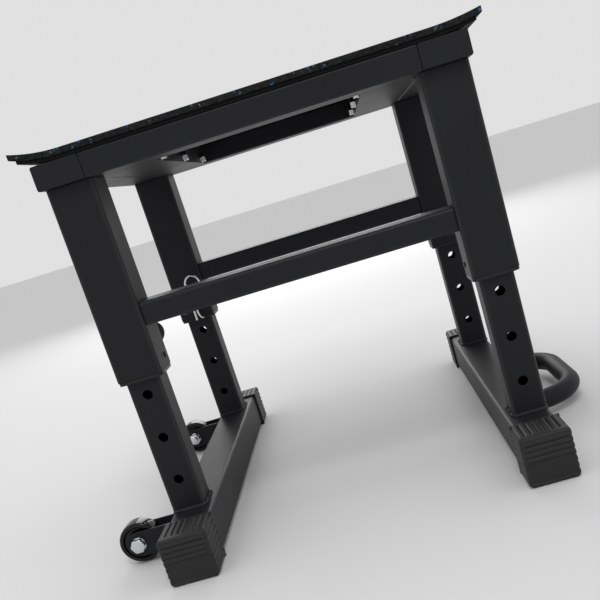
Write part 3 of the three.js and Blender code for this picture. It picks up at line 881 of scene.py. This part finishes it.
# Each ring of a boot: distance from the open end and inset in millimetres, then how deep its grooves are
# on the bottom and sides, and on the top, from 0 to 1.
BOOT_SHAPE = (
    (0.4, 1.4, 0.0, 0.0), (0.9, 0.5, 0.0, 0.0), (2.0, 0.0, 0.0, 0.0), (4.5, 0.0, 0.0, 0.0),
    (5.5, 0.0, 0.4, 0.4), (6.5, 0.0, 0.9, 0.9), (8.0, 0.0, 1.0, 1.0), (30.0, 0.0, 1.0, 1.0),
    (56.0, 0.0, 1.0, 1.0), (61.0, 0.0, 1.0, 0.95), (63.0, 0.0, 1.0, 0.55), (65.0, 0.0, 1.0, 0.15),
    (67.0, 0.0, 1.0, 0.0), (72.0, 0.0, 1.0, 0.0), (74.5, 0.3, 1.0, 0.0), (76.3, 1.1, 0.8, 0.0),
    (77.4, 2.3, 0.5, 0.0), (77.9, 3.6, 0.2, 0.0), (78.0, 5.0, 0.0, 0.0),
)


def boot(node, sign, sizes):
    """Ribbed boot: square rings whose sides rise and fall as rounded lobes, and a ribbed end face.

    The lobes fade into a round front edge. The end face is a grid, raised where its level ribs run and
    slightly sunken in the panel below them.
    """
    centre, (_, height, length) = node_sizes(node, "XZY")
    half = height / 2
    ribs = sizes.boot_ribs
    count = ribs * RIB_POINTS
    share = (np.arange(count) * ribs / count) % 1
    groove = 1 - (1 - np.abs(2 * share - 1) ** LOBE_WIDTH) ** (1 / LOBE_ROUND)
    plain = [np.zeros(count)] * 4
    rings = [square_ring(BOOT_SOCKET, plain, level * MM) for level in (72, 0.8)]
    rings.append(square_ring(BOOT_SOCKET + 0.6 * MM, plain, 0))
    # The edge weights paint light and shade on the boot: lighter on the rib crests, darker down in the
    # grooves.
    weights = [np.full(4 * count, 0.6)] * 3
    for level, inset, fluting, top_fluting in BOOT_SHAPE:
        flutes = [fluting, fluting, top_fluting, fluting]
        insets = [inset * MM + sizes.rib_depth * depth * groove for depth in flutes]
        rings.append(square_ring(half, insets, level * MM))
        weights.append(np.concatenate([1 - 0.9 * depth * groove for depth in flutes]))
    skin = Stack(rings, np.array(weights)).capped(True, False)
    span = np.linspace(-1, 1, count + 1) * (half - BOOT_SHAPE[-1][1] * MM)
    across, up = np.meshgrid(span, span)
    reach = span[-1]
    border = np.clip((reach - np.maximum(np.abs(across), np.abs(up))) / FACE_BORDER, 0, 1)
    phase = ((reach - up) / FACE_RIB_PITCH) % 1
    crest = np.clip(1 - np.abs(2 * phase - 1) ** 3, 0, 1)
    ribbed = up > reach - FACE_RIBS * FACE_RIB_PITCH
    rise = np.where(ribbed, FACE_RIB_HEIGHT * crest - FACE_GROOVE, -FACE_PANEL) * border
    # The end face's weights paint highlights on its rib crests and shade in its grooves.
    face = Stack(
        np.stack([across, up, BOOT_SHAPE[-1][0] * MM + rise], 2),
        np.where(ribbed, 0.2 + 0.8 * crest, 0.8),
        wrap=False,
    )
    start = centre - [0, sign * length / 2, 0]
    return [part.placed("XZY", start, sign) for part in (skin, face)]


def handle_path(node):
    """Centre line of the handle: two straight starts, two quarter circles and a straight outer run."""
    centre, extent = node_box(node)
    low = centre - extent / 2
    high = centre + extent / 2
    radius = extent[2] / 2
    bend = HANDLE_BEND
    outer = high[0] - radius
    half = extent[1] / 2 - radius
    turn = np.linspace(-math.pi / 2, 0, 25)
    arc = np.stack([outer - bend + bend * np.cos(turn), bend - half + bend * np.sin(turn)], 1)
    start = [(low[0], -half), (low[0] + 0.4 * (outer - bend - low[0]), -half)]
    run = [(outer, y) for y in np.linspace(bend - half, half - bend, 9)[1:-1]]
    flat = np.concatenate([start, arc, run, arc[::-1] * [1, -1], start[::-1] * np.array([1, -1])])
    return np.column_stack([flat[:, 0], flat[:, 1] + centre[1], np.full(len(flat), centre[2])]), radius


class BuildBase(bpy.types.Operator):
    """Builds the two floor beams, their ribbed boots and the lifting handle."""

    bl_idname = "step_platform.base"
    bl_label = "Base"

    def execute(self, context):
        sizes = context.scene.platform_sizes
        for side, _ in SIDES:
            body = f"base_{side}"
            beam = f"base_beam_{side}"
            tube = hollow_tube(beam, "XZY", sizes.tube_corner, sizes.tube_wall, sizes.cut_edge)
            make_piece(f"{beam}_steel", [tube], body, "powder_coat", [beam])
            for end, sign in ENDS:
                node = f"foot_boot_{end}_{side}"
                make_piece(f"{node}_rubber", boot(node, sign, sizes), body, "boot_rubber", [node], 50.0)
        path, radius = handle_path("lift_handle")
        bar = swept(path, radius, (0, 0, 1), 40).capped()
        turn = np.linspace(0, 2 * math.pi, 73)[:-1]
        circle = (radius + 0.4 * MM) * np.stack([0 * turn, np.cos(turn), np.sin(turn)], 1)
        welds = []
        for foot in (path[0], path[-1]):
            welds.append(weld_bead(circle + foot + [0.8 * MM, 0, 0], sizes.weld_radius, (1, 0, 0)))
        make_piece("lift_handle_tube", [bar], "base_right", "powder_coat", ["lift_handle"])
        make_piece("lift_handle_welds", welds, "base_right", "powder_coat")
        return {"FINISHED"}


# ---- Wheels ----

AXLE_RADIUS = 8 * MM
AXLE_HOLE = 8.3 * MM
AXLE_HEAD = 10 * MM
THREAD_PITCH = 1.6 * MM
THREAD_DEPTH = 0.5 * MM
THREAD_LENGTH = 20 * MM
AXLE_WASHER = (13.5 * MM, 7.5 * MM, 1.4 * MM)  # outer and inner radius, and height
PLATE_EDGE = 0.5 * MM
# Radius and depth behind the hub's face, in millimetres: the hub's edge, the sunken web and the rim.
WHEEL_SIDE = ((13.2, 0), (14.0, 0.8), (15.0, 4.0), (27.6, 4.4), (29.4, 1.6), (30.4, 1.0))


def wheel_profile(radius, half):
    """Loop of (radius, z) for a wheel: hub, sunken web, rim, and a slightly crowned tread."""
    turn = np.linspace(0, math.pi / 2, 6)
    across = radius - 0.4 * MM - 4 * MM * (1 - np.cos(turn))
    shoulder = np.stack([across, half - 5 * MM + 4 * MM * np.sin(turn)], 1)
    side = [(reach * MM, half - depth * MM) for reach, depth in WHEEL_SIDE]
    half_side = np.concatenate([[(AXLE_HOLE + 0.1 * MM, half)], side, shoulder[::-1]])
    return np.concatenate([half_side, [(radius, 0)], half_side[::-1] * [1, -1]])


def bracket_plate(node):
    """Plate of a wheel bracket: a loop of rings round the rim of a straight outline with a round end.

    The inner rings are a circle with the same directions, which is the axle's hole.
    """
    centre, extent = node_box(node)
    radius = extent[2] / 2
    reach = extent[0] - radius
    turn = np.linspace(math.pi / 2, 3 * math.pi / 2, 49)
    share = np.linspace(0, 1, 13)[1:, None]
    top = np.array([reach, radius]) * (1 - share[:-1]) + np.array([0, radius]) * share[:-1]
    side = np.array([reach, -radius]) * (1 - share) + np.array([reach, radius]) * share
    arc = np.stack([radius * np.cos(turn), radius * np.sin(turn)], 1)
    outline = np.concatenate([top, arc, top[::-1] * [1, -1], [[reach, -radius]], side])
    circle = AXLE_HOLE * outline / np.linalg.norm(outline, axis=1, keepdims=True)
    half = extent[1] / 2
    edge = PLATE_EDGE
    loop = [(outline, half - edge), (outline * (1 - 0.15 * edge / radius), half - 0.4 * edge)]
    loop += [(outline * (1 - inward * edge / radius), half) for inward in (1, 3)] + [(circle, half)]
    loop += [(p, -y) for p, y in loop[::-1]]
    rings = [np.stack([p[:, 0], np.full(len(p), y), p[:, 1]], 1) for p, y in loop]
    axle = (centre[0] - extent[0] / 2 + radius, centre[1], centre[2])
    return Stack(rings, loop=True).placed("XYZ", axle)


def threaded_rod(length):
    """Axle along local z whose radius follows a triangle wave once per pitch past the thread's start."""
    start = length - THREAD_LENGTH
    levels = np.concatenate([[0, start], np.arange(start, length - 1 * MM, THREAD_PITCH / 4)])
    wave = np.abs(((levels - start) / THREAD_PITCH) % 1 - 0.5) * 2
    radii = AXLE_RADIUS - THREAD_DEPTH * wave * (levels > start)
    tip = [[AXLE_RADIUS - 1.6 * MM, length]]
    return turned(np.concatenate([np.stack([radii, levels], 1), tip]), 40)


def ring_washer(outer, inner, height):
    """Flat ring along local z with bevelled outer edges, turned from its six-sided section."""
    bevel = 0.2 * height
    lower = [(inner, 0), (outer - bevel, 0), (outer, bevel)]
    upper = [(outer, height - bevel), (outer - bevel, height), (inner, height)]
    return turned(lower + upper, 48, True)


class BuildWheels(bpy.types.Operator):
    """Builds the transport wheels, their bracket plates, axle bolts and nuts."""

    bl_idname = "step_platform.wheels"
    bl_label = "Wheels"

    def execute(self, context):
        for end, sign in ENDS:
            wheel = f"wheel_{end}"
            axle, (width, _, length) = node_sizes(wheel, "XZY")
            tread = turned(wheel_profile(width / 2, length / 2), 96, True).placed("XZY", axle)
            make_piece(f"{wheel}_tread", [tread], f"{end}_wheel", "wheel_plastic", [wheel], 28.0)
            for place in ("outer", "inner"):
                plate = f"wheel_plate_{place}_{end}"
                make_piece(f"{plate}_steel", [bracket_plate(plate)], "base_left", "powder_coat", [plate])
            bolt = f"axle_bolt_{end}"
            centre, (width, height, length) = node_sizes(bolt, "XZY")
            flats = min(width, height)
            under = np.array([centre[0], centre[1] + sign * (length / 2 - AXLE_HEAD), axle[2]])
            shapes = [
                hexagon_head(flats, AXLE_HEAD).placed("XZY", under, sign),
                ring_washer(*AXLE_WASHER).placed("XZY", under, sign),
                threaded_rod(length - AXLE_HEAD).placed("XZY", under, -sign),
            ]
            make_piece(f"{bolt}_steel", shapes, "base_left", "bright_steel", [bolt])
            nut = f"axle_nut_{end}"
            centre, (_, _, thickness) = node_sizes(nut, "XZY")
            near = np.array([centre[0], centre[1] + sign * thickness / 2, axle[2]])
            shapes = [
                hexagon_head(flats, thickness).placed("XZY", near, -sign),
                ring_washer(*AXLE_WASHER).placed("XZY", near, -sign),
            ]
            make_piece(f"{nut}_steel", shapes, "base_left", "bright_steel", [nut])
        return {"FINISHED"}


# ---- Deck bolts ----

BOLT_FLATS = 19 * MM
BOLT_HEAD = 8 * MM
BOLT_WASHER = (11 * MM, 4 * MM, 2 * MM)  # outer and inner radius, and height


class BuildDeckBolts(bpy.types.Operator):
    """Builds three hex bolts with washers on each deck support's upright flange."""

    bl_idname = "step_platform.deck_bolts"
    bl_label = "Deck Bolts"

    def execute(self, context):
        for side, sign in SIDES:
            (front, extent), (rear, _) = (node_box(f"support_bolt_{end}_{side}") for end, _ in ENDS)
            for name, centre in (("front", front), ("middle", (front + rear) / 2), ("rear", rear)):
                seat = centre + [sign * extent[0] / 2, 0, 0]
                washer_top = seat - [sign * BOLT_WASHER[2], 0, 0]
                shapes = [
                    ring_washer(*BOLT_WASHER).placed("YZX", seat, -sign),
                    hexagon_head(BOLT_FLATS, BOLT_HEAD).placed("YZX", washer_top, -sign),
                ]
                replaced = [] if name == "middle" else [f"support_bolt_{name}_{side}"]
                make_piece(f"deck_bolt_{name}_{side}", shapes, "platform", "bright_steel", replaced)
        return {"FINISHED"}


# ---- Stage ----

CAMERA_PLACE = (0.10877, -1.69907, 0.56011)
CAMERA_TURN = (76.1930, 16.8123, 0.4069)
CAMERA_LENS = 49.84
CAMERA_SHIFT = (-0.0538, 0.1279)
FLOOR_REACH = 40.0
FLOOR_GREY = 0.74
STUDIO_STRENGTH = 0.75
# Name, place, target, size in metres and power in watts.
LIGHTS = (
    ("top_light", (-0.4, 0.3, 3.2), (0, 0, 0.3), 2.4, 12),
    ("back_light", (-0.3, 4.2, 2.2), (0, 0, 0.1), 2.6, 60),
    ("key_light", (0.3, -2.2, 3.0), (0, 0, 0.35), 0.8, 20),
)


def area_light(name, place, target, size, power):
    """Square soft light that points at a target."""
    data = bpy.data.lights.new(name, "AREA")
    data.size = size
    data.energy = power
    lamp = bpy.data.objects.new(name, data)
    bpy.context.scene.collection.objects.link(lamp)
    lamp.location = place
    lamp.visible_camera = False
    aim = Vector(target) - Vector(place)
    lamp.rotation_euler = aim.to_track_quat("-Z", "Y").to_euler()


class BuildStage(bpy.types.Operator):
    """Sets the camera, the pale floor and the soft studio light."""

    bl_idname = "step_platform.stage"
    bl_label = "Stage"

    def execute(self, context):
        scene = context.scene
        data = bpy.data.cameras.new("camera")
        data.sensor_width = 36
        data.lens = CAMERA_LENS
        data.shift_x, data.shift_y = CAMERA_SHIFT
        camera = bpy.data.objects.new("camera", data)
        scene.collection.objects.link(camera)
        camera.location = CAMERA_PLACE
        camera.rotation_euler = [math.radians(angle) for angle in CAMERA_TURN]
        scene.camera = camera

        mesh = bpy.data.meshes.new("floor")
        corners = [(x * FLOOR_REACH, y * FLOOR_REACH, 0) for x, y in ((-1, -1), (1, -1), (1, 1), (-1, 1))]
        mesh.from_pydata(corners, [], [(0, 1, 2, 3)])
        floor = bpy.data.objects.new("floor", mesh)
        scene.collection.objects.link(floor)
        paint = bpy.data.materials.new("floor_paint")
        paint.use_nodes = True
        shader = paint.node_tree.nodes["Principled BSDF"]
        shader.inputs["Base Color"].default_value = (FLOOR_GREY, FLOOR_GREY, FLOOR_GREY, 1)
        shader.inputs["Roughness"].default_value = 0.9
        shader.inputs["Specular IOR Level"].default_value = 0.1
        mesh.materials.append(paint)

        world = bpy.data.worlds.new("studio")
        world.use_nodes = True
        background = world.node_tree.nodes["Background"]
        background.inputs["Color"].default_value = (1, 1, 1, 1)
        background.inputs["Strength"].default_value = STUDIO_STRENGTH
        scene.world = world
        scene.view_settings.view_transform = "Standard"
        for light in LIGHTS:
            area_light(*light)
        return {"FINISHED"}


# ---- Panel and registration ----

OPERATORS = (
    MixFinishes,
    BuildDeck,
    BuildFrame,
    BuildLegs,
    BuildPins,
    BuildBase,
    BuildWheels,
    BuildDeckBolts,
    BuildStage,
)


class PlatformPanel(bpy.types.Panel):
    """Lists the sizes, the colours and the building steps."""

    bl_idname = "VIEW3D_PT_step_platform"
    bl_label = "Step Platform"
    bl_space_type = "VIEW_3D"
    bl_region_type = "UI"
    bl_category = "Step Platform"

    def draw(self, context):
        for group in (context.scene.platform_sizes, context.scene.platform_colours):
            box = self.layout.box()
            for name in type(group).__annotations__:
                box.prop(group, name)
        for operator in OPERATORS:
            self.layout.operator(operator.bl_idname)


CLASSES = (PlatformSizes, PlatformColours, *OPERATORS, PlatformPanel)


def register():
    """Registers the classes and hangs the settings on the scene."""
    for item in CLASSES:
        bpy.utils.register_class(item)
    bpy.types.Scene.platform_sizes = bpy.props.PointerProperty(type=PlatformSizes)
    bpy.types.Scene.platform_colours = bpy.props.PointerProperty(type=PlatformColours)


def unregister():
    """Takes the settings and the classes away again."""
    del bpy.types.Scene.platform_colours
    del bpy.types.Scene.platform_sizes
    for item in reversed(CLASSES):
        bpy.utils.unregister_class(item)


def main():
    """Registers the add-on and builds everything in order."""
    register()
    steps = bpy.ops.step_platform
    steps.finishes()
    steps.deck()
    steps.frame()
    steps.legs()
    steps.pins()
    steps.base()
    steps.wheels()
    steps.deck_bolts()
    steps.stage()


if __name__ == "__main__":
    main()
